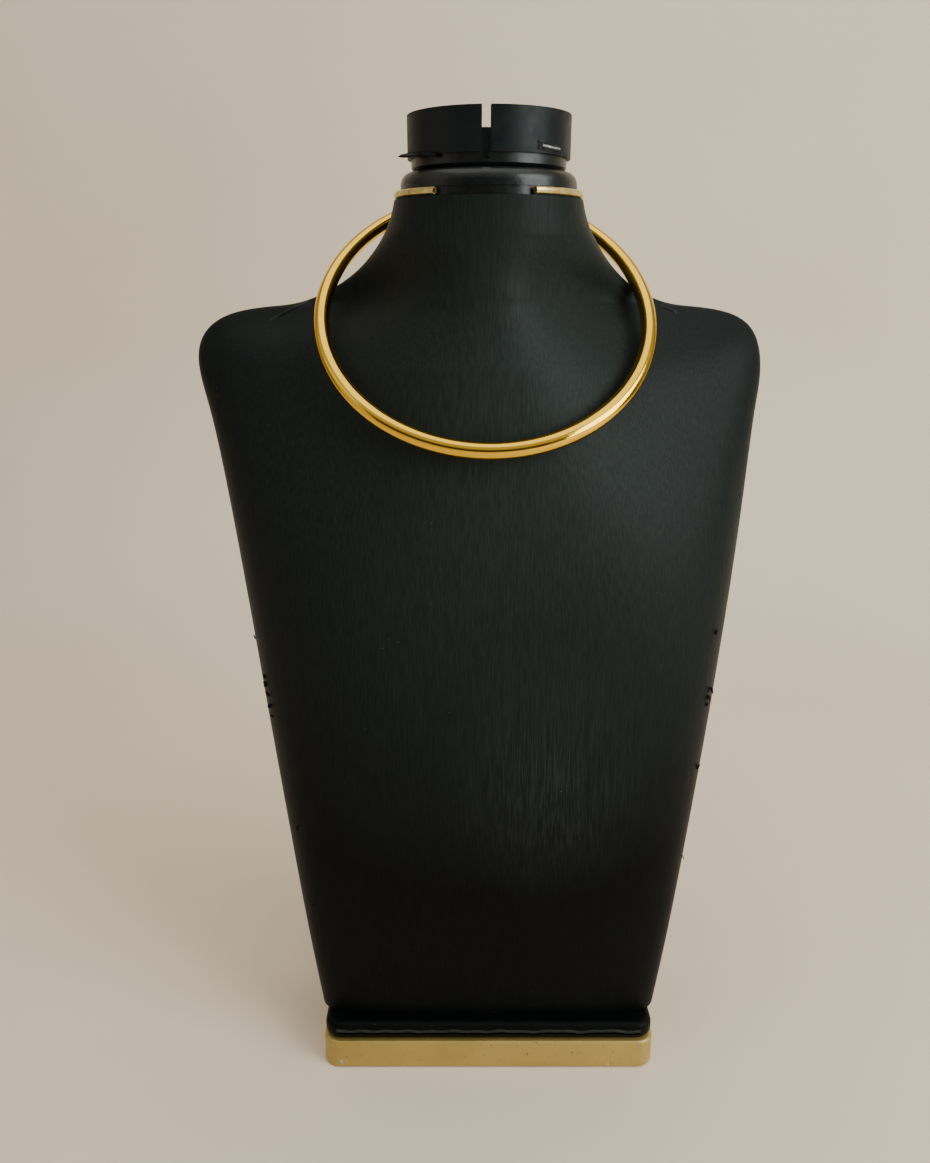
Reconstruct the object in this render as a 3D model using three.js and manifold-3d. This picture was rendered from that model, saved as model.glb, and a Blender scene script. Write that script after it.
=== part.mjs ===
// A rigid tubular collar necklace resting on a neck bust stand.
// Millimetres, +Z up, the front faces -Y, the stand rests on Z = 0.
import * as THREE from "three";
import { ParametricGeometry } from "three/addons/geometries/ParametricGeometry.js";
import { mergeVertices } from "three/addons/utils/BufferGeometryUtils.js";
import Module from "manifold-3d";

const { abs, cos, exp, max, min, PI, pow, sin, sign, sqrt, tan } = Math;
const { degToRad, lerp, smoothstep } = THREE.MathUtils;

const wasm = await Module();
wasm.setup();

// Clearances
const gap = 0.3;

// Collar, on its centre line
const collarWidth = 134;
const collarDepth = 129.4;
const tubeFront = 7.4;
const tubeBack = 6.1;
const collarTurn = degToRad(2);
const collarSide = -2.4;
const collarAboveTrim = 1.6;
const claspLength = 12;
const claspOver = 0.8;

// Base
const baseWidth = 154;
const baseDepth = 80;
const baseHeight = 14.2;
const baseCorner = 8;
const baseEdge = 1.2;
const plinthHeight = 8.6;
const plinthInset = 0.7;
const plinthEdge = 3;

// Bust
const waistWidth = 159;
const shoulderWidth = 249.5;
const shoulderShift = -5;
const neckShift = -1.6;
const torsoHeight = 300;
const cornerDrop = 25;
const shoulderRise = 19.4;
const shoulderTop = 170;
const neckHeight = 39;
const neckWidth = 75.4;
const neckDepth = 70;
const chestDepth = 38.6;
const bellyDepth = 41;
const waistDepth = 33;
const backDepth = 40;
const ridgeBack = 21;
const rimTilt = degToRad(4.2);
const sideBulge = 2.2;
const middlePower = 2.7;
const leanPower = 5;
const cornerPull = 0.6;
const neckCentred = 0.6;

// Handles of the outline's curves, as shares between the widths and heights beside them
const handles = {
  sideMiddle: 0.5,
  cornerOut: 1.16,
  cornerUp: 0.73,
  shoulderOut: 0.74,
  shoulderUp: 0.91,
  flareOut: 0.68,
  flareUp: 0.03,
  throatOut: 0.06,
  throatUp: 0.43,
};

// Neck trim, a hollow piping open at the front
const trimThick = 2.8;
const trimWall = 0.5;
const trimGapLeft = degToRad(35);
const trimGapRight = degToRad(27);

// Disc and split cap on the neck
const discWidth = 70.2;
const discHeight = 6.4;
const discBand = 1.6;
const discRound = 4;
const capWidth = 64.2;
const capHeight = 20;
const capWall = 2.6;
const capFloor = 2.6;
const capTaper = 1.2;
const wrapThick = 1.2;
const wrapAbove = 2.4;
const slotWidth = 3.2;
const slotSide = -1.7;

// Mesh fineness
const fine = {
  tube: 14,
  tubeSteps: 110,
  claspSteps: 6,
  bust: 60,
  torso: 14,
  shoulder: 9,
  neck: 11,
  round: 64,
  trim: 10,
  trimSteps: 72,
  discArc: 8,
  bevel: 4,
  corner: 6,
};

// Fineness of the search for the collar's resting lean
const probes = { around: 12, along: 120, halvings: 30 };
const leanRange = [degToRad(20), degToRad(85)];

const black = { color: 0x121615, roughness: 0.55, metalness: 0 };
const gloss = { color: 0x0c0e0e, roughness: 0.25, metalness: 0 };
const gold = { color: 0xd9b45f, roughness: 0.12, metalness: 1 };
const dullGold = { color: 0xb59a62, roughness: 0.45, metalness: 0.6 };

// Shares vertices and drops collapsed triangles
function closed(geometry) {
  const bare = geometry.clone();
  bare.deleteAttribute("normal");
  bare.deleteAttribute("uv");
  const merged = mergeVertices(bare, 1e-3);
  const index = merged.index.array;
  const kept = [];
  for (let i = 0; i < index.length; i += 3) {
    const [a, b, c] = index.subarray(i, i + 3);
    if (a !== b && b !== c && c !== a) kept.push(a, b, c);
  }
  merged.setIndex(kept);
  return merged;
}

function solid(geometry) {
  const merged = closed(geometry);
  return new wasm.Manifold(
    new wasm.Mesh({
      numProp: 3,
      vertProperties: merged.attributes.position.array,
      triVerts: new Uint32Array(merged.index.array),
    }),
  );
}

function geometryOf(made) {
  const { numProp, vertProperties, triVerts } = made.getMesh();
  const points = [];
  for (let i = 0; i < vertProperties.length; i += numProp) {
    points.push(...vertProperties.subarray(i, i + 3));
  }
  const geometry = new THREE.BufferGeometry();
  geometry.setAttribute("position", new THREE.Float32BufferAttribute(points, 3));
  geometry.setIndex([...triVerts]);
  return geometry;
}

function mesh(name, geometry, look) {
  const flat = geometry.index ? geometry.toNonIndexed() : geometry;
  flat.computeVertexNormals();
  const made = new THREE.Mesh(flat, new THREE.MeshStandardMaterial(look));
  made.name = name;
  return made;
}

// A closed skin through rings of points, with flat ends
function skin(rings, pointAt, sides) {
  const stacks = rings.length + 1;
  const geometry = new ParametricGeometry(
    (u, v, target) => {
      const row = Math.round(v * stacks);
      const ring = rings[min(max(row - 1, 0), rings.length - 1)];
      const closing = row === 0 || row === stacks;
      pointAt(ring, (u % 1) * 2 * PI, closing ? 0 : 1, target);
    },
    sides,
    stacks,
  );
  return closed(geometry);
}

function block(width, depth, height, corner, edge) {
  const w = width / 2 - edge;
  const d = depth / 2 - edge;
  const r = corner - edge;
  const shape = new THREE.Shape();
  shape.moveTo(-w + r, -d);
  shape.lineTo(w - r, -d);
  shape.absarc(w - r, -d + r, r, -PI / 2, 0);
  shape.lineTo(w, d - r);
  shape.absarc(w - r, d - r, r, 0, PI / 2);
  shape.lineTo(-w + r, d);
  shape.absarc(-w + r, d - r, r, PI / 2, PI);
  shape.lineTo(-w, -d + r);
  shape.absarc(-w + r, -d + r, r, PI, 1.5 * PI);
  const geometry = new THREE.ExtrudeGeometry(shape, {
    depth: height - 2 * edge,
    bevelThickness: edge,
    bevelSize: edge,
    bevelSegments: fine.bevel,
    curveSegments: fine.corner,
  });
  geometry.translate(0, 0, edge);
  return closed(geometry);
}

// Bust heights
const plinthFoot = baseHeight + gap;
const torsoFoot = plinthFoot + plinthHeight + gap;
const shoulderLine = torsoFoot + torsoHeight;
const neckFoot = shoulderLine + shoulderRise;
const rim = neckFoot + neckHeight;

// Half of the bust's front outline, from the waist up to the neck's rim
function bustOutline() {
  const path = new THREE.Path();
  const side = shoulderWidth / 2;
  const top = shoulderTop / 2;
  const neck = neckWidth / 2;
  const start = lerp(side, waistWidth / 2, cornerDrop / torsoHeight);
  path.moveTo(waistWidth / 2, torsoFoot);
  path.quadraticCurveTo(
    lerp(waistWidth / 2, start, handles.sideMiddle) + sideBulge,
    lerp(torsoFoot, shoulderLine - cornerDrop, handles.sideMiddle),
    start,
    shoulderLine - cornerDrop,
  );
  path.bezierCurveTo(
    lerp(top, side, handles.cornerOut),
    lerp(shoulderLine, neckFoot, handles.cornerUp),
    lerp(top, side, handles.shoulderOut),
    lerp(shoulderLine, neckFoot, handles.shoulderUp),
    top,
    neckFoot,
  );
  path.bezierCurveTo(
    lerp(neck, top, handles.flareOut),
    neckFoot + neckHeight * handles.flareUp,
    lerp(neck, top, handles.throatOut),
    neckFoot + neckHeight * handles.throatUp,
    neck,
    rim,
  );
  const counts = [fine.torso, fine.shoulder, fine.neck];
  return path.curves.flatMap((curve, i) => curve.getPoints(counts[i]).slice(i ? 1 : 0));
}

// The bust's sections. rise: 0 at the foot, 1 at the shoulder line, 2 at the neck's foot and 3 at
// the rim. front: how far the middle of the front stands out. wing: the depth beside the middle,
// as a share. spread: the middle's width as a share of the shoulders. ridge: how far back the
// widest line lies. back: the share of the back's depth. square, flat: the corners' powers.
const columns = ["rise", "front", "wing", "spread", "ridge", "back", "square", "flat"];
const neckFront = neckDepth / 2;
const sections = [
  [0.0, waistDepth, 1.0, 1.0, 0.0, 0.86, 7.0, 7.0],
  [0.25, bellyDepth * 0.93, 0.97, 0.9, 0.3, 0.93, 4.2, 6.0],
  [0.5, bellyDepth, 0.93, 0.85, 0.6, 0.98, 3.0, 5.0],
  [0.72, lerp(chestDepth, bellyDepth, 0.6), 0.83, 0.7, 0.85, 1.0, 2.5, 5.0],
  [0.87, chestDepth, 0.66, 0.52, 1.0, 1.0, 2.3, 5.0],
  [1.0, lerp(neckFront, chestDepth, 0.6), 0.42, 0.42, 1.0, 1.0, 2.1, 4.0],
  [2.0, lerp(neckFront, chestDepth, 0.2), 0.15, 0.33, 1.0, 0.96, 2.0, 2.4],
  [2.3, neckFront, 0.4, 0.3, 0.75, 0.9, 2.0, 2.1],
  [2.6, neckFront, 0.85, 0.4, 0.25, 0.88, 2.0, 2.0],
  [3.0, neckFront, 1.0, 0.5, 0.0, 0.875, 2.0, 2.0],
];

function levelAt(rise) {
  const levels = [torsoFoot, shoulderLine, neckFoot, rim];
  const floor = min(Math.floor(rise), levels.length - 2);
  return lerp(levels[floor], levels[floor + 1], rise - floor);
}

const follow = new THREE.CubicInterpolant(
  sections.map(([rise]) => levelAt(rise)),
  sections.flat(),
  columns.length,
);

const outline = bustOutline();

function sectionAt(z) {
  const values = follow.evaluate(min(max(z, torsoFoot), rim));
  return Object.fromEntries(columns.map((name, i) => [name, values[i]]));
}

function halfWidthAt(z) {
  const next = outline.findIndex((point) => point.y >= z);
  if (next < 0) return outline.at(-1).x;
  if (next === 0) return outline[0].x;
  const [low, high] = [outline[next - 1], outline[next]];
  return lerp(low.x, high.x, (z - low.y) / (high.y - low.y));
}

function shiftAt(z) {
  const lean = shoulderShift * pow(min((z - torsoFoot) / torsoHeight, 1), leanPower);
  return lerp(lean, neckShift, smoothstep(z, shoulderLine, lerp(neckFoot, rim, neckCentred)));
}

const liftAt = (y, z) => y * tan(rimTilt) * smoothstep(z, neckFoot, rim);

// The depth of the front from the ridge line, at a share of the half width
function frontDepth(part, share, half) {
  const round = pow(max(1 - pow(abs(share), part.square), 0), 1 / part.square);
  const full = part.front + part.ridge * ridgeBack;
  const wing = full * part.wing;
  const middle = exp(-pow(abs(share * half) / (part.spread * shoulderWidth * 0.5), middlePower));
  return round * (wing + (full - wing) * middle);
}

function backDepthAt(part, share) {
  const round = pow(max(1 - pow(abs(share), part.flat), 0), 1 / part.flat);
  return round * (backDepth * part.back - part.ridge * ridgeBack);
}

function bustPoint(ring, angle, spread, target) {
  const part = sectionAt(ring.y);
  const square = sin(angle) < 0 ? part.square : part.flat;
  const share = sign(cos(angle)) * pow(abs(cos(angle)), 2 / lerp(2, square, cornerPull));
  const ridge = part.ridge * ridgeBack;
  const y = sin(angle) < 0 ? ridge - frontDepth(part, share, ring.x) : ridge + backDepthAt(part, share);
  const lifted = ring.y + liftAt(y * spread, ring.y);
  target.set(shiftAt(ring.y) + share * ring.x * spread, y * spread, lifted);
}

function bust() {
  return skin(outline, bustPoint, fine.bust);
}

// The collar hooks behind the trim at the back of the neck and leans until it meets the chest
function collarHook() {
  const reach = (trimThick + tubeBack + claspOver) / 2 + gap;
  const trimBack = (neckDepth - trimThick) / 2;
  const trimMiddle = gap + trimThick / 2;
  const rise = collarAboveTrim;
  return {
    y: trimBack * cos(rimTilt) - trimMiddle * sin(rimTilt) + sqrt(max(reach * reach - rise * rise, 0)),
    z: rim + trimBack * sin(rimTilt) + trimMiddle * cos(rimTilt) + rise,
  };
}

const hook = collarHook();

function tubeRadius(t) {
  return lerp(tubeBack, tubeFront, (1 - cos(t)) / 2) / 2;
}

function collarFrame(lean) {
  const down = new THREE.Vector3(0, -cos(lean), -sin(lean));
  const across = new THREE.Vector3(1, 0, 0);
  const centre = new THREE.Vector3(collarSide, hook.y, hook.z).addScaledVector(down, collarDepth / 2);
  const turn = new THREE.Vector3(0, 0, 1);
  down.applyAxisAngle(turn, collarTurn);
  across.applyAxisAngle(turn, collarTurn);
  return { down, across, centre, normal: down.clone().cross(across) };
}

// A point of the tube: t goes once round the collar from its back, angle round the tube
function tubeSurface(frame, t, angle, radius) {
  const along = frame.down
    .clone()
    .multiplyScalar((sin(t) * collarDepth) / 2)
    .addScaledVector(frame.across, (cos(t) * collarWidth) / 2)
    .normalize();
  return frame.centre
    .clone()
    .addScaledVector(frame.down, (-cos(t) * collarDepth) / 2)
    .addScaledVector(frame.across, (sin(t) * collarWidth) / 2)
    .addScaledVector(along.clone().cross(frame.normal), cos(angle) * radius)
    .addScaledVector(frame.normal, -sin(angle) * radius);
}

function arc(from, to, steps) {
  return Array.from({ length: steps + 1 }, (_, i) => lerp(from, to, i / steps));
}

function insideBust(point) {
  const z = point.z - liftAt(point.y, point.z);
  const half = halfWidthAt(z);
  const share = (point.x - shiftAt(z)) / half;
  if (abs(share) > 1 || z > rim) return false;
  const part = sectionAt(z);
  const out = point.y - part.ridge * ridgeBack;
  return out > -frontDepth(part, share, half) && out < backDepthAt(part, share);
}

function meetsBust(lean) {
  const frame = collarFrame(lean);
  const around = arc(0, 2 * PI, probes.around);
  return arc(0, 2 * PI, probes.along).some((t) =>
    around.some((angle) => insideBust(tubeSurface(frame, t, angle, tubeRadius(t) + gap))),
  );
}

function restingLean() {
  let [low, high] = leanRange;
  for (let i = 0; i < probes.halvings; i++) {
    const middle = (low + high) / 2;
    if (meetsBust(middle)) high = middle;
    else low = middle;
  }
  return low;
}

const collar = collarFrame(restingLean());

function tubePoint(over) {
  return (t, angle, spread, target) =>
    target.copy(tubeSurface(collar, t, angle, (tubeRadius(t) + over) * spread));
}

const claspHalf = claspLength / collarWidth;
const jointHalf = claspHalf + (2 * gap) / collarWidth;

const clasp = () => skin(arc(-claspHalf, claspHalf, fine.claspSteps), tubePoint(claspOver / 2), fine.tube);
const tube = () => skin(arc(jointHalf, 2 * PI - jointHalf, fine.tubeSteps), tubePoint(0), fine.tube);

// The piping runs round the rim as a hollow tube: out along its outside, back along its bore
function trim() {
  const steps = fine.trimSteps;
  const a = (neckWidth - trimThick) / 2;
  const b = (neckDepth - trimThick) / 2;
  const from = -PI / 2 + trimGapRight;
  const to = 1.5 * PI - trimGapLeft;
  const geometry = new ParametricGeometry(
    (u, v, target) => {
      const row = Math.round(v * (2 * steps + 2)) % (2 * steps + 2);
      const outer = row <= steps;
      const step = outer ? row : 2 * steps + 1 - row;
      const at = lerp(from, to, step / steps);
      const radius = trimThick / 2 - (outer ? 0 : trimWall);
      const angle = -(u % 1) * 2 * PI;
      const reach = cos(angle) * radius;
      target.set((a + reach) * cos(at), (b + reach) * sin(at), gap + trimThick / 2 + sin(angle) * radius);
    },
    fine.trim,
    2 * steps + 2,
  );
  return closed(geometry);
}

function lathe(points, depthShare) {
  const geometry = new THREE.LatheGeometry(points, fine.round);
  geometry.rotateX(PI / 2);
  geometry.scale(1, depthShare, 1);
  return geometry;
}

const discFoot = 2 * gap + trimThick;
const discTop = discFoot + discHeight;
const depthShare = neckDepth / neckWidth;

function disc() {
  const stem = neckWidth / 2 - trimThick - 2 * gap;
  const edge = discWidth / 2;
  const round = discHeight - discBand;
  const foot = [
    [0, gap],
    [stem, gap],
    [stem, discFoot],
    [edge, discFoot],
  ];
  const shoulder = arc(0, PI / 2, fine.discArc).map((angle) => [
    edge - (1 - cos(angle)) * discRound,
    discTop - (1 - sin(angle)) * round,
  ]);
  const profile = [...foot, ...shoulder, [0, discTop]].map(([x, y]) => new THREE.Vector2(x, y));
  return closed(lathe(profile, depthShare));
}

const capFoot = discTop + gap;
const cupRadius = capWidth / 2 - wrapThick - gap;

function ring(inner, outer, low, high) {
  const corners = [
    [outer, low],
    [outer, high],
    [inner, high],
    [inner, low],
    [outer, low],
  ];
  return lathe(corners.map(([x, y]) => new THREE.Vector2(x, y)), depthShare);
}

function slotCutter(low) {
  const cutter = new THREE.BoxGeometry(slotWidth, capWidth, capHeight);
  cutter.translate(slotSide, -capWidth / 2, low + capHeight / 2);
  return solid(cutter);
}

function cup() {
  const inner = cupRadius - capWall;
  const floor = capFoot + capFloor;
  const top = capFoot + capHeight;
  const profile = [
    [0, capFoot],
    [cupRadius - capTaper, capFoot],
    [cupRadius, capFoot + capTaper],
    [cupRadius, top],
    [inner, top],
    [inner, floor],
    [0, floor],
  ].map(([x, y]) => new THREE.Vector2(x, y));
  const whole = solid(lathe(profile, depthShare));
  return geometryOf(whole.subtract(slotCutter(floor)));
}

// Each wrap covers one side of the cup, from the front slot to a seam at the back
function wrap(side) {
  const low = capFoot + wrapAbove;
  const whole = solid(ring(cupRadius + gap, capWidth / 2, low, capFoot + capHeight));
  const cutter = new THREE.BoxGeometry(capWidth, 2 * capWidth, 2 * capHeight);
  cutter.translate((-side * capWidth) / 2 + side * (gap / 2), 0, low);
  const half = whole.subtract(solid(cutter));
  const front = new THREE.BoxGeometry(slotWidth, capWidth, 2 * capHeight);
  front.translate(slotSide, -capWidth / 2, low);
  return geometryOf(half.subtract(solid(front)));
}

function head() {
  const group = new THREE.Group();
  group.position.set(neckShift, 0, rim);
  group.rotation.x = rimTilt;
  group.add(
    mesh("neck_trim", trim(), dullGold),
    mesh("neck_disc", disc(), gloss),
    mesh("cap_cup", cup(), gloss),
    mesh("cap_wrap_left", wrap(-1), black),
    mesh("cap_wrap_right", wrap(1), black),
  );
  return group;
}

function stand() {
  const group = new THREE.Group();
  const plinth = mesh(
    "plinth",
    block(baseWidth - 2 * plinthInset, baseDepth - 2 * plinthInset, plinthHeight, baseCorner, plinthEdge),
    black,
  );
  plinth.position.z = plinthFoot;
  group.add(
    mesh("gold_base", block(baseWidth, baseDepth, baseHeight, baseCorner, baseEdge), dullGold),
    plinth,
    mesh("bust_body", bust(), black),
    head(),
  );
  return group;
}

function necklace() {
  const group = new THREE.Group();
  group.add(mesh("collar_tube", tube(), gold), mesh("collar_clasp", clasp(), gold));
  return group;
}

// The origin is under the middle of the whole
const model = new THREE.Group();
model.add(stand(), necklace());
const middle = new THREE.Box3().setFromObject(model, true).getCenter(new THREE.Vector3());
model.position.set(-middle.x, -middle.y, 0);

const part = new THREE.Group();
part.add(model);

export default part;
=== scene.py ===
import math
import random

import bmesh
import bpy
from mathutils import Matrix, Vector
from mathutils.bvhtree import BVHTree

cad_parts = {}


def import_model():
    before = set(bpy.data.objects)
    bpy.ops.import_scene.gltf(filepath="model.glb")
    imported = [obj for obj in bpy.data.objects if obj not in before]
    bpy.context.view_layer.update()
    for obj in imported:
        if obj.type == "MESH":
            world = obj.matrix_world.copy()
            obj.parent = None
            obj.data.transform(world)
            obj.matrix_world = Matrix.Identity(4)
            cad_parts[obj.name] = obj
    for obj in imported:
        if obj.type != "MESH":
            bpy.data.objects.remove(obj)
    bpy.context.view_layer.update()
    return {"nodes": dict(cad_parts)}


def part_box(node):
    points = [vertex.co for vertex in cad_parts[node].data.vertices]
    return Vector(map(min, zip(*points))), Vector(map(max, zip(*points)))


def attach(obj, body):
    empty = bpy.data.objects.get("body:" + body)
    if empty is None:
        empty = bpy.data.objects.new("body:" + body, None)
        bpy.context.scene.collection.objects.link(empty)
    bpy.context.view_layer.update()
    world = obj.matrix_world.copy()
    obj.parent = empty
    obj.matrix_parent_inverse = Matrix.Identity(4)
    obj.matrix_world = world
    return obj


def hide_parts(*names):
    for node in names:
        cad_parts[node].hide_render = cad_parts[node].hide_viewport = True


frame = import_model()

# Photograph and camera, in metres and pixels
IMAGE = (930, 1163)
FOCAL_PIXELS = 895
PITCH = math.radians(15)
BASE_LOW, BASE_HIGH = (Vector(corner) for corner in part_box("gold_base"))
BASE_MIDDLE = (BASE_LOW + BASE_HIGH) / 2
EYE_ASIDE = -0.0110
EYE_BACK = -0.385
EYE_HEIGHT = 0.3274
EYE = Vector((BASE_MIDDLE.x + EYE_ASIDE, BASE_MIDDLE.y + EYE_BACK, EYE_HEIGHT))
SENSOR_HEIGHT = 36

# Edges sharper than these stay sharp, on most pieces and on the bust
FACET_ANGLE = math.radians(35)
END_ANGLE = math.radians(62)

# Faces of the solids that lie flatter than this to each other are joined first
JOIN_ANGLE = math.radians(50)
JOIN_SHAPE = math.radians(179)
SAME_PLACE = 2e-6

# Where the cover is evened out beside the neck, in metres, and how often
NECK_FOOT = (0.318, 0.366)
NECK_REACH = 0.085
NECK_PASSES = 30

# How much higher the covers of the cap end than their solids
WRAP_SHORTER = 0.0022

SOFT = random.Random(7)


def add_camera():
    data = bpy.data.cameras.new("camera")
    data.sensor_fit = "VERTICAL"
    data.sensor_height = SENSOR_HEIGHT
    data.lens = SENSOR_HEIGHT * FOCAL_PIXELS / IMAGE[1]
    data.clip_start = 0.01
    camera = bpy.data.objects.new("camera", data)
    camera.location = EYE
    camera.rotation_euler = (math.pi / 2 - PITCH, 0, 0)
    bpy.context.scene.collection.objects.link(camera)
    bpy.context.scene.camera = camera


def pixel_ray(u, v):
    across = (u - IMAGE[0] / 2) / FOCAL_PIXELS
    up = (IMAGE[1] / 2 - v) / FOCAL_PIXELS
    forward = Vector((0, math.cos(PITCH), -math.sin(PITCH)))
    above = Vector((0, math.sin(PITCH), math.cos(PITCH)))
    return (forward + Vector((across, 0, 0)) + above * up).normalized()


class Nodes:
    """A material's node tree, with short calls for the nodes that it needs."""

    def __init__(self, name, roughness, metallic=0.0):
        self.material = bpy.data.materials.new(name)
        self.material.use_nodes = True
        self.tree = self.material.node_tree
        self.shader = self.tree.nodes["Principled BSDF"]
        self.shader.inputs["Roughness"].default_value = roughness
        self.shader.inputs["Metallic"].default_value = metallic
        self.place = self.tree.nodes.new("ShaderNodeTexCoord").outputs["Object"]

    def link(self, output, target):
        self.tree.links.new(output, target)

    def stretched(self, scale):
        node = self.tree.nodes.new("ShaderNodeMapping")
        node.inputs["Scale"].default_value = scale
        self.link(self.place, node.inputs["Vector"])
        return node.outputs["Vector"]

    def noise(self, scale, detail=3.0, roughness=0.55, stretch=None):
        node = self.tree.nodes.new("ShaderNodeTexNoise")
        node.inputs["Scale"].default_value = scale
        node.inputs["Detail"].default_value = detail
        node.inputs["Roughness"].default_value = roughness
        self.link(self.stretched(stretch) if stretch else self.place, node.inputs["Vector"])
        return node.outputs["Fac"]

    def cells(self, scale, stretch=None):
        node = self.tree.nodes.new("ShaderNodeTexVoronoi")
        node.inputs["Scale"].default_value = scale
        self.link(self.stretched(stretch) if stretch else self.place, node.inputs["Vector"])
        return node.outputs["Distance"]

    def spot(self, centre, radii):
        """One at the centre, falling to nothing at the radii, in metres."""
        place = self.tree.nodes.new("ShaderNodeMapping")
        place.inputs["Scale"].default_value = [1 / radius for radius in radii]
        place.inputs["Location"].default_value = [-at / radius for at, radius in zip(centre, radii)]
        self.link(self.place, place.inputs["Vector"])
        node = self.tree.nodes.new("ShaderNodeTexGradient")
        node.gradient_type = "SPHERICAL"
        self.link(place.outputs["Vector"], node.inputs["Vector"])
        return node.outputs["Fac"]

    def ramp(self, value, stops):
        node = self.tree.nodes.new("ShaderNodeValToRGB")
        ramp = node.color_ramp
        while len(ramp.elements) < len(stops):
            ramp.elements.new(0.5)
        for element, (at, colour) in zip(ramp.elements, stops):
            element.position = at
            element.color = (*colour, 1)
        self.link(value, node.inputs["Fac"])
        return node.outputs["Color"]

    def between(self, value, low, high, from_low=0.3, from_high=0.7):
        node = self.tree.nodes.new("ShaderNodeMapRange")
        node.inputs["From Min"].default_value = from_low
        node.inputs["From Max"].default_value = from_high
        node.inputs["To Min"].default_value = low
        node.inputs["To Max"].default_value = high
        self.link(value, node.inputs["Value"])
        return node.outputs["Result"]

    def mix(self, share, first, second):
        node = self.tree.nodes.new("ShaderNodeMix")
        node.data_type = "RGBA"
        self.link(share, node.inputs[0])
        for value, socket in ((first, node.inputs[6]), (second, node.inputs[7])):
            if isinstance(value, tuple):
                socket.default_value = (*value, 1)
            else:
                self.link(value, socket)
        return node.outputs[2]

    def maths(self, kind, first, second):
        node = self.tree.nodes.new("ShaderNodeMath")
        node.operation = kind
        for value, socket in ((first, node.inputs[0]), (second, node.inputs[1])):
            if isinstance(value, (int, float)):
                socket.default_value = value
            else:
                self.link(value, socket)
        return node.outputs[0]

    def bump(self, height, strength, distance):
        node = self.tree.nodes.new("ShaderNodeBump")
        node.inputs["Strength"].default_value = strength
        node.inputs["Distance"].default_value = distance
        self.link(height, node.inputs["Height"])
        previous = self.shader.inputs["Normal"].links
        if previous:
            self.link(previous[0].from_socket, node.inputs["Normal"])
        self.link(node.outputs["Normal"], self.shader.inputs["Normal"])

    def colour(self, output):
        self.link(output, self.shader.inputs["Base Color"])

    def roughness(self, output):
        self.link(output, self.shader.inputs["Roughness"])


def polished_gold():
    made = Nodes("polished_gold", 0.1, 1.0)
    cloud = made.noise(45, 4)
    clean = made.ramp(cloud, [(0.3, (0.80, 0.47, 0.035)), (0.7, (0.92, 0.58, 0.06))])
    pits = made.ramp(made.cells(150), [(0.04, (1, 1, 1)), (0.07, (0, 0, 0))])
    rare = made.ramp(made.noise(38, 1), [(0.58, (0, 0, 0)), (0.62, (1, 1, 1))])
    made.colour(made.mix(made.maths("MULTIPLY", pits, rare), clean, (0.16, 0.08, 0.02)))
    smear = made.noise(160, 5, 0.65)
    made.roughness(made.between(smear, 0.07, 0.17))
    made.bump(made.noise(90, 2), 0.12, 0.0004)
    made.bump(made.noise(1500, 2), 0.03, 0.0001)
    return made.material


def leatherette():
    made = Nodes("leatherette", 0.5)
    tone = made.noise(14, 3)
    grain = made.noise(1, 4, 0.6, stretch=(1500, 1500, 110))
    dark = made.ramp(tone, [(0.3, (0.0010, 0.0017, 0.0017)), (0.75, (0.0020, 0.0030, 0.0029))])
    grained = made.mix(made.between(grain, 0.0, 0.55, 0.45, 0.75), dark, (0.0036, 0.0052, 0.0050))
    lint = made.ramp(made.cells(230), [(0.035, (1, 1, 1)), (0.05, (0, 0, 0))])
    rare = made.ramp(made.noise(60, 1), [(0.60, (0, 0, 0)), (0.66, (1, 1, 1))])
    speck = made.maths("MULTIPLY", lint, rare)
    streak = made.noise(1, 4, 0.65, stretch=(1900, 1900, 45))
    # Painted light: the chest is coloured lighter in a broad spot, as if lit from above, fading to
    # the darker plain grain lower down.
    chest_light_spot = made.spot((0.012, -0.03, 0.29), (0.18, 0.4, 0.20))
    brushed = made.between(grain, 0.0, 1.0, 0.40, 0.60)
    lit_chest_grain = made.mix(brushed, (0.0168, 0.0228, 0.0219), (0.0238, 0.0316, 0.0302))
    painted_chest_light = made.mix(chest_light_spot, grained, lit_chest_grain)
    # Painted sheen: lighter vertical streaks in a patch low on the right of the front, standing in
    # for the window's reflection.
    sheen_spot = made.spot((0.030, -0.035, 0.150), (0.050, 0.2, 0.065))
    sheen_streaks = made.maths("MULTIPLY", sheen_spot, made.between(streak, 0.05, 1.0, 0.42, 0.66))
    painted_sheen = made.mix(sheen_streaks, painted_chest_light, (0.026, 0.031, 0.029))
    made.colour(made.mix(speck, painted_sheen, (0.10, 0.10, 0.095)))
    made.roughness(made.between(streak, 0.36, 0.54))
    made.shader.inputs["Specular IOR Level"].default_value = 0.07
    made.bump(made.noise(26, 3), 0.12, 0.0012)
    made.bump(grain, 0.32, 0.00022)
    made.bump(made.cells(1500, stretch=(1, 1, 0.4)), 0.12, 0.00015)
    return made.material


def wrap_leatherette():
    made = Nodes("wrap_leatherette", 0.45)
    tone = made.noise(40, 3)
    stops = [(0.3, (0.0040, 0.0064, 0.0074)), (0.7, (0.009, 0.0130, 0.0145))]
    made.colour(made.ramp(tone, stops))
    made.shader.inputs["Specular IOR Level"].default_value = 0.16
    made.roughness(made.between(made.noise(220, 4), 0.34, 0.52))
    made.bump(made.noise(90, 4), 0.25, 0.0006)
    made.bump(made.noise(2200, 2), 0.15, 0.00012)
    return made.material


def gloss_black():
    made = Nodes("gloss_black", 0.3)
    stops = [(0.3, (0.0035, 0.0055, 0.0062)), (0.7, (0.0065, 0.0092, 0.0100))]
    made.colour(made.ramp(made.noise(30, 3), stops))
    made.shader.inputs["Specular IOR Level"].default_value = 0.44
    made.roughness(made.between(made.noise(120, 5, 0.7), 0.22, 0.42))
    made.bump(made.noise(160, 3), 0.12, 0.0003)
    return made.material


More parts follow.
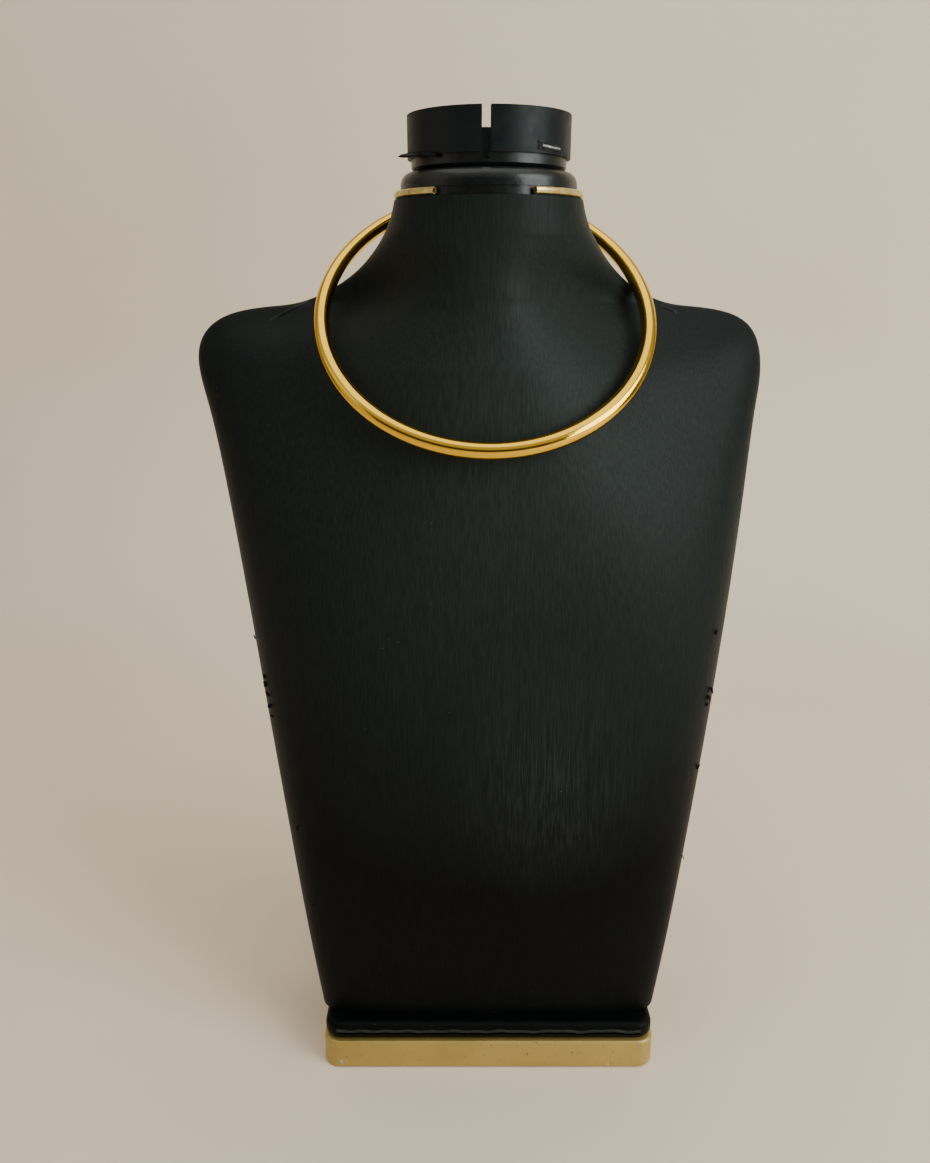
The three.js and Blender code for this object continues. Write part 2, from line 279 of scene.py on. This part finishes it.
def trim_gold():
    made = Nodes("trim_gold", 0.35, 0.85)
    wear = made.noise(260, 5, 0.7)
    stops = [(0.3, (0.30, 0.21, 0.075)), (0.5, (0.68, 0.53, 0.20)), (0.75, (0.86, 0.70, 0.33))]
    made.colour(made.ramp(wear, stops))
    made.roughness(made.between(wear, 0.5, 0.26))
    made.bump(made.noise(700, 3), 0.2, 0.0002)
    return made.material


def base_gold():
    made = Nodes("base_gold", 0.42, 0.55)
    cloud = made.noise(22, 4)
    painted = made.ramp(cloud, [(0.3, (0.42, 0.295, 0.078)), (0.7, (0.52, 0.375, 0.11))])
    spots = made.ramp(made.noise(420, 4, 0.7), [(0.30, (1, 1, 1)), (0.36, (0, 0, 0))])
    made.colour(made.mix(spots, painted, (0.22, 0.15, 0.06)))
    made.roughness(made.between(made.noise(150, 4), 0.34, 0.52))
    made.bump(made.noise(900, 3), 0.12, 0.00015)
    made.bump(made.noise(60, 2), 0.08, 0.0006)
    return made.material


def bare_chip():
    made = Nodes("bare_chip", 0.6)
    stops = [(0.35, (0.42, 0.36, 0.26)), (0.65, (0.80, 0.74, 0.60))]
    made.colour(made.ramp(made.noise(900, 4), stops))
    made.bump(made.noise(1400, 3), 0.3, 0.0002)
    return made.material


def torn_edge():
    made = Nodes("torn_edge", 0.7)
    stops = [(0.35, (0.006, 0.006, 0.006)), (0.65, (0.035, 0.035, 0.033))]
    made.colour(made.ramp(made.noise(1200, 4), stops))
    made.bump(made.noise(1800, 3), 0.4, 0.0003)
    return made.material


def glossy_film():
    made = Nodes("glossy_film", 0.12)
    stops = [(0.3, (0.42, 0.44, 0.44)), (0.7, (0.75, 0.77, 0.76))]
    made.colour(made.ramp(made.noise(300, 3), stops))
    made.bump(made.noise(600, 2), 0.2, 0.0003)
    return made.material


def join_rows(edit, rows):
    """Faces between each row of vertices and the next."""
    for low, high in zip(rows, rows[1:]):
        for a, b, c, d in zip(low, low[1:], high[1:], high):
            edit.faces.new((a, b, c, d))


def new_piece(name, mesh_edit, material):
    mesh = bpy.data.meshes.new(name)
    mesh_edit.to_mesh(mesh)
    mesh_edit.free()
    for face in mesh.polygons:
        face.use_smooth = True
    mesh.materials.append(material)
    piece = bpy.data.objects.new(name, mesh)
    bpy.context.scene.collection.objects.link(piece)
    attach(piece, "root")
    return piece


def smooth_piece(node, name, material, levels, shape=None, sharp=FACET_ANGLE):
    """A finely curved skin with the node's own shape, its sharp edges kept."""
    source = frame["nodes"][node]
    edit = bmesh.new()
    edit.from_mesh(source.data)
    bmesh.ops.remove_doubles(edit, verts=edit.verts, dist=SAME_PLACE)
    bmesh.ops.join_triangles(
        edit,
        faces=edit.faces,
        angle_face_threshold=JOIN_ANGLE,
        angle_shape_threshold=JOIN_SHAPE,
    )
    crease = edit.edges.layers.float.new("crease_edge")
    for edge in edit.edges:
        if len(edge.link_faces) == 2 and edge.calc_face_angle(0) > sharp:
            edge[crease] = 1
    piece = new_piece(name, edit, material)
    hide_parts(node)
    divide = piece.modifiers.new("divide", "SUBSURF")
    divide.levels = levels
    divide.render_levels = levels
    depsgraph = bpy.context.evaluated_depsgraph_get()
    fine = bpy.data.meshes.new_from_object(piece.evaluated_get(depsgraph))
    piece.modifiers.clear()
    piece.data = fine
    if node == "bust_body":
        relax(fine, *NECK_FOOT)
    if shape:
        for vertex in fine.vertices:
            vertex.co = shape(vertex.co)
    for face in fine.polygons:
        face.use_smooth = True
    sharpen(fine)
    return piece


def relax(mesh, low, high):
    """Evens out the surface beside the neck, between two heights."""
    edit = bmesh.new()
    edit.from_mesh(mesh)
    beside = [vertex for vertex in edit.verts if abs(vertex.co.x) < NECK_REACH]
    within = [vertex for vertex in beside if low < vertex.co.z < high]
    for _ in range(NECK_PASSES):
        bmesh.ops.smooth_vert(
            edit, verts=within, factor=0.5, use_axis_x=True, use_axis_y=True, use_axis_z=True
        )
    edit.to_mesh(mesh)
    edit.free()


def sharpen(mesh):
    edit = bmesh.new()
    edit.from_mesh(mesh)
    for edge in edit.edges:
        if len(edge.link_faces) == 2:
            edge.smooth = edge.calc_face_angle(0) < FACET_ANGLE
    edit.to_mesh(mesh)
    edit.free()


def surface_of(piece):
    edit = bmesh.new()
    edit.from_mesh(piece.data)
    tree = BVHTree.FromBMesh(edit)
    edit.free()
    return tree


def seen_at(tree, u, v):
    """The point and the normal of a surface behind a pixel of the photograph."""
    point, normal, _, _ = tree.ray_cast(EYE, pixel_ray(u, v))
    return point, normal


def flake(edit, point, normal, along, size, lift):
    """A curled scrap of skin that lies on the surface at one edge."""
    across = normal.cross(along).normalized()
    rows = []
    for i in range(5):
        share = i / 4
        row = []
        for j in range(5):
            side = j / 4 - 0.5
            ragged = 1 + SOFT.uniform(-0.25, 0.25)
            place = point + along * side * size[0] * ragged
            place = place + across * (share - 0.2) * size[1] * ragged
            place = place + normal * (0.00005 + lift * share * share)
            row.append(edit.verts.new(place))
        rows.append(row)
    join_rows(edit, rows)


def thicken(edit, thickness):
    faces = edit.faces[:]
    bmesh.ops.solidify(edit, geom=faces, thickness=thickness)
    bmesh.ops.recalc_face_normals(edit, faces=edit.faces)


# Where the cover is torn: the place in pixels, the length, width and lift in millimetres
TEARS = [
    {"u": 257.5, "v": 637, "long": 2.2, "wide": 0.9, "lift": 0.6},
    {"u": 269.5, "v": 676, "long": 2.0, "wide": 1.0, "lift": 1.0},
    {"u": 271.0, "v": 684, "long": 2.4, "wide": 1.3, "lift": 1.4},
    {"u": 273.0, "v": 694, "long": 2.6, "wide": 1.0, "lift": 1.1},
    {"u": 275.0, "v": 706, "long": 2.2, "wide": 1.3, "lift": 1.4},
    {"u": 277.0, "v": 716, "long": 1.8, "wide": 0.9, "lift": 0.8},
    {"u": 302.0, "v": 828, "long": 2.4, "wide": 1.0, "lift": 0.8},
    {"u": 707.0, "v": 689, "long": 2.6, "wide": 1.5, "lift": 1.5},
    {"u": 705.0, "v": 697, "long": 2.4, "wide": 1.8, "lift": 1.2},
    {"u": 703.0, "v": 704, "long": 1.8, "wide": 1.1, "lift": 0.8},
    {"u": 712.5, "v": 632, "long": 2.2, "wide": 1.0, "lift": 0.8},
    {"u": 694.0, "v": 766, "long": 2.4, "wide": 1.0, "lift": 0.9},
    {"u": 679.0, "v": 856, "long": 2.2, "wide": 1.0, "lift": 0.8},
    {"u": 318.0, "v": 905, "long": 2.0, "wide": 0.9, "lift": 0.7},
]

# Small bright chips in the gold base
CHIPS = [
    {"u": 346, "v": 1061, "long": 2.4, "wide": 1.4, "lift": 0.05},
    {"u": 605, "v": 1064, "long": 1.2, "wide": 0.8, "lift": 0.05},
    {"u": 637, "v": 1047, "long": 0.9, "wide": 1.2, "lift": 0.05},
    {"u": 639, "v": 1052, "long": 0.6, "wide": 0.9, "lift": 0.05},
]


# The search for the outline: its step in pixels, and how many steps outside a scrap it starts
SEARCH_STEP = 0.4
SEARCH_START = 9


def scraps(name, rows, tree, material, thickness):
    edit = bmesh.new()
    for row in rows:
        inward = math.copysign(SEARCH_STEP, IMAGE[0] / 2 - row["u"])
        point = None
        u = row["u"] - SEARCH_START * inward
        while point is None:
            point, normal = seen_at(tree, u, row["v"])
            u += inward
        along = (Vector((SOFT.uniform(-0.5, 0.5), 0, 1)) - normal * normal.z).normalized()
        size = (row["long"] / 1000, row["wide"] / 1000)
        flake(edit, point, normal, along, size, row["lift"] / 1000)
    thicken(edit, thickness)
    return new_piece(name, edit, material)


# Low creases of the cover beside the neck, in pixels from end to end
CREASES = [
    {"start": (309, 301), "end": (270, 320)},
    {"start": (661, 306), "end": (677, 312)},
]


def creases(tree, material):
    edit = bmesh.new()
    steps = 10
    crown = 0.0005
    sides = ((-1.6, 0), (-0.5, 0.8), (0.5, 1), (1.6, 0))
    for line in CREASES:
        rows = []
        for i in range(steps + 1):
            share = i / steps
            u, v = (a + (b - a) * share for a, b in zip(line["start"], line["end"]))
            height = crown * math.sin(math.pi * share)
            row = []
            for aside, lift in sides:
                point, normal = seen_at(tree, u, v + aside)
                if point is None:
                    break
                row.append(point + normal * (0.00003 + height * lift))
            if len(row) == 4:
                rows.append([edit.verts.new(place) for place in row])
        join_rows(edit, rows)
    return new_piece("shoulder_creases", edit, material)


def plinth_lip(material):
    """The loose, waved edge of the cover along the front of the plinth, painted olive brown as a
    reflection of light off the plinth's top.
    """
    low, high = (Vector(corner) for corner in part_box("plinth"))
    edit = bmesh.new()
    steps = 90
    inset = 0.006
    below_top = 0.0042
    rows = []
    for i in range(steps + 1):
        share = i / steps
        x = low.x + inset + (high.x - low.x - 2 * inset) * share
        wave = 0.00035 * math.sin(share * 37) * share + 0.0002 * math.sin(share * 83 + 1)
        z = high.z - below_top + wave
        rows.append(
            [
                edit.verts.new((x, low.y - 0.0001, z - 0.0008)),
                edit.verts.new((x, low.y - 0.0009, z - 0.0002)),
                edit.verts.new((x, low.y - 0.0009, z + 0.0006)),
                edit.verts.new((x, low.y + 0.0006, z + 0.0016)),
            ]
        )
    join_rows(edit, rows)
    thicken(edit, 0.0002)
    return new_piece("plinth_cover_lip", edit, material)


def lip_painted_reflection():
    made = Nodes("lip_painted_reflection", 0.5)
    # Painted reflection: olive brown, lighter than the black cover, for the light that the plinth's
    # top reflects.
    stops = [(0.35, (0.016, 0.016, 0.010)), (0.65, (0.034, 0.033, 0.021))]
    made.colour(made.ramp(made.noise(300, 4), stops))
    made.roughness(made.between(made.noise(500, 3), 0.42, 0.6))
    made.bump(made.noise(900, 3), 0.2, 0.0002)
    return made.material


def torn_fold(tree, material):
    """The loose fold of cover that stands out at the lower left of the cap."""
    edit = bmesh.new()
    rows = []
    steps = 14
    left_end, right_end, level = 409, 438, 153
    down = Vector((0, 0, -1))
    for i in range(steps + 1):
        share = i / steps
        u = left_end + (right_end - left_end) * share
        point, normal = seen_at(tree, u, level)
        if point is None:
            continue
        flare = (1 - share) ** 1.4
        wave = math.sin(share * 9) * 0.0004
        out = normal * (0.0005 + 0.0014 * flare)
        left = Vector((-1, 0, 0)) * 0.0008 * flare
        rows.append(
            [
                point + normal * 0.0001 - down * 0.0004,
                point + normal * 0.0005,
                point + out + left * 1.6 + down * (0.0006 + wave * 0.5),
                point + out * 1.3 + left * 2.6 + down * (0.0015 - 0.0006 * share + wave),
            ]
        )
    verts = [[edit.verts.new(place) for place in row] for row in rows]
    join_rows(edit, verts)
    thicken(edit, 0.0005)
    return new_piece("cap_torn_fold", edit, material)


def torn_window(tree, film, edge):
    """The small tear at the right of the cap, with a strip of glossy film in it."""
    columns = 12
    fall = 4
    for name, box, lift, ragged, material in (
        ("cap_tear_edge", (538, 143, 561, 151), 0.0001, 1.4, edge),
        ("cap_tear_film", (542, 146.2, 559, 148.2), 0.0005, 0.3, film),
    ):
        edit = bmesh.new()
        rows = []
        for i in range(columns + 1):
            u = box[0] + (box[2] - box[0]) * i / columns
            row = []
            slant = fall * (i / columns - 0.5)
            for v in (box[1], (box[1] + box[3]) / 2, box[3]):
                point, normal = seen_at(tree, u, v + slant + SOFT.uniform(-ragged, ragged))
                row.append(edit.verts.new(point + normal * (lift + SOFT.uniform(0, 0.0002))))
            rows.append(row)
        join_rows(edit, rows)
        thicken(edit, 0.0003)
        new_piece(name, edit, material)


def area_light(name, place, aim, size, power, colour):
    data = bpy.data.lights.new(name, "AREA")
    data.shape = "RECTANGLE"
    data.size, data.size_y = size
    data.energy = power
    data.color = colour
    light = bpy.data.objects.new(name, data)
    light.location = place
    direction = Vector(aim) - Vector(place)
    light.rotation_euler = direction.to_track_quat("-Z", "Y").to_euler()
    bpy.context.scene.collection.objects.link(light)


def lights():
    area_light("window", (1.15, -0.75, 0.75), (0, 0, 0.25), (0.9, 1.1), 21, (0.93, 1.0, 0.98))
    area_light("ceiling", (0.0, -0.25, 1.5), (0, 0, 0.2), (1.6, 1.2), 8, (1.0, 0.97, 0.92))
    area_light("room_left", (-1.3, -0.5, 0.6), (0, 0, 0.25), (0.8, 0.9), 1.2, (1.0, 0.93, 0.85))


def world():
    made = bpy.data.worlds.new("world")
    bpy.context.scene.world = made
    made.use_nodes = True
    tree = made.node_tree
    tree.nodes.clear()
    output = tree.nodes.new("ShaderNodeOutputWorld")
    place = tree.nodes.new("ShaderNodeTexCoord")
    split = tree.nodes.new("ShaderNodeSeparateXYZ")
    tree.links.new(place.outputs["Generated"], split.inputs["Vector"])
    ramp = tree.nodes.new("ShaderNodeValToRGB")
    stops = [
        (0.0, (0.34, 0.32, 0.29)),
        (0.40, (0.10, 0.085, 0.065)),
        (0.52, (0.035, 0.03, 0.025)),
        (0.62, (0.20, 0.18, 0.15)),
        (0.74, (0.95, 0.93, 0.88)),
        (1.0, (0.85, 0.83, 0.78)),
    ]
    while len(ramp.color_ramp.elements) < len(stops):
        ramp.color_ramp.elements.new(0.5)
    for element, (at, colour) in zip(ramp.color_ramp.elements, stops):
        element.position = at
        element.color = (*colour, 1)
    lift = tree.nodes.new("ShaderNodeMapRange")
    lift.inputs["From Min"].default_value = -1
    lift.inputs["From Max"].default_value = 1
    tree.links.new(split.outputs["Z"], lift.inputs["Value"])
    tree.links.new(lift.outputs["Result"], ramp.inputs["Fac"])
    back = tree.nodes.new("ShaderNodeMapRange")
    back.inputs["From Min"].default_value = -0.2
    back.inputs["From Max"].default_value = 0.35
    tree.links.new(split.outputs["Y"], back.inputs["Value"])
    room = tree.nodes.new("ShaderNodeMix")
    room.data_type = "RGBA"
    room.inputs[7].default_value = (0.62, 0.57, 0.50, 1)
    tree.links.new(back.outputs["Result"], room.inputs[0])
    tree.links.new(ramp.outputs["Color"], room.inputs[6])
    seen = tree.nodes.new("ShaderNodeMix")
    seen.data_type = "RGBA"
    seen.inputs[7].default_value = (0.66, 0.61, 0.54, 1)
    path = tree.nodes.new("ShaderNodeLightPath")
    tree.links.new(path.outputs["Is Camera Ray"], seen.inputs[0])
    tree.links.new(room.outputs[2], seen.inputs[6])
    shader = tree.nodes.new("ShaderNodeBackground")
    shader.inputs["Strength"].default_value = 0.6
    tree.links.new(seen.outputs[2], shader.inputs["Color"])
    tree.links.new(shader.outputs["Background"], output.inputs["Surface"])


def floor():
    """A pale floor that curves up into a plain wall behind the stand."""
    made = Nodes("plain_floor", 0.75)
    stops = [(0.3, (0.82, 0.70, 0.55)), (0.7, (0.86, 0.74, 0.59))]
    made.colour(made.ramp(made.noise(3, 2), stops))
    bend = 0.35
    wall = 0.75
    front = -3.0
    top = 3.0
    reach = 4
    steps = 24
    profile = [(front, 0.0), (0.1, 0.0)]
    for i in range(steps + 1):
        angle = math.pi / 2 * i / steps
        profile.append((wall - bend + bend * math.sin(angle), bend - bend * math.cos(angle)))
    profile.append((wall, top))
    edit = bmesh.new()
    rows = [[edit.verts.new((x, y, z)) for x in (-reach, 0, reach)] for y, z in profile]
    join_rows(edit, rows)
    mesh = bpy.data.meshes.new("floor")
    edit.to_mesh(mesh)
    edit.free()
    for face in mesh.polygons:
        face.use_smooth = True
    mesh.materials.append(made.material)
    plane = bpy.data.objects.new("floor", mesh)
    plane.location.z = -0.0003
    bpy.context.scene.collection.objects.link(plane)


def raised_hem(node):
    """Lifts the lower half of a cap cover, with the tilt of the neck's rim kept."""
    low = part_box(node)[0][2]
    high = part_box(node)[1][2]
    middle = (low + high) / 2

    def lifted(place):
        if place.z < middle:
            return place + Vector((0, 0, WRAP_SHORTER))
        return place

    return lifted


def dress():
    gold = polished_gold()
    cover = leatherette()
    wrap = wrap_leatherette()
    gloss = gloss_black()
    edge = torn_edge()
    smooth_piece("collar_tube", "collar_tube_skin", gold, 2)
    smooth_piece("collar_clasp", "collar_clasp_skin", gold, 2)
    body = smooth_piece("bust_body", "bust_cover", cover, 2, sharp=END_ANGLE)
    smooth_piece("neck_trim", "neck_piping", trim_gold(), 1)
    smooth_piece("neck_disc", "neck_disc_skin", gloss, 1)
    smooth_piece("cap_cup", "cap_cup_skin", gloss, 1)
    left_hem = raised_hem("cap_wrap_left")
    right_hem = raised_hem("cap_wrap_right")
    left = smooth_piece("cap_wrap_left", "cap_cover_left", wrap, 1, left_hem)
    right = smooth_piece("cap_wrap_right", "cap_cover_right", wrap, 1, right_hem)
    smooth_piece("plinth", "plinth_cover", cover, 1)
    block = smooth_piece("gold_base", "gold_base_skin", base_gold(), 1)
    scraps("cover_tears", TEARS, surface_of(body), wrap, 0.0002)
    scraps("base_chips", CHIPS, surface_of(block), bare_chip(), 0.0001)
    creases(surface_of(body), wrap)
    plinth_lip(lip_painted_reflection())
    torn_fold(surface_of(left), wrap)
    torn_window(surface_of(right), glossy_film(), edge)


add_camera()
dress()
floor()
lights()
world()
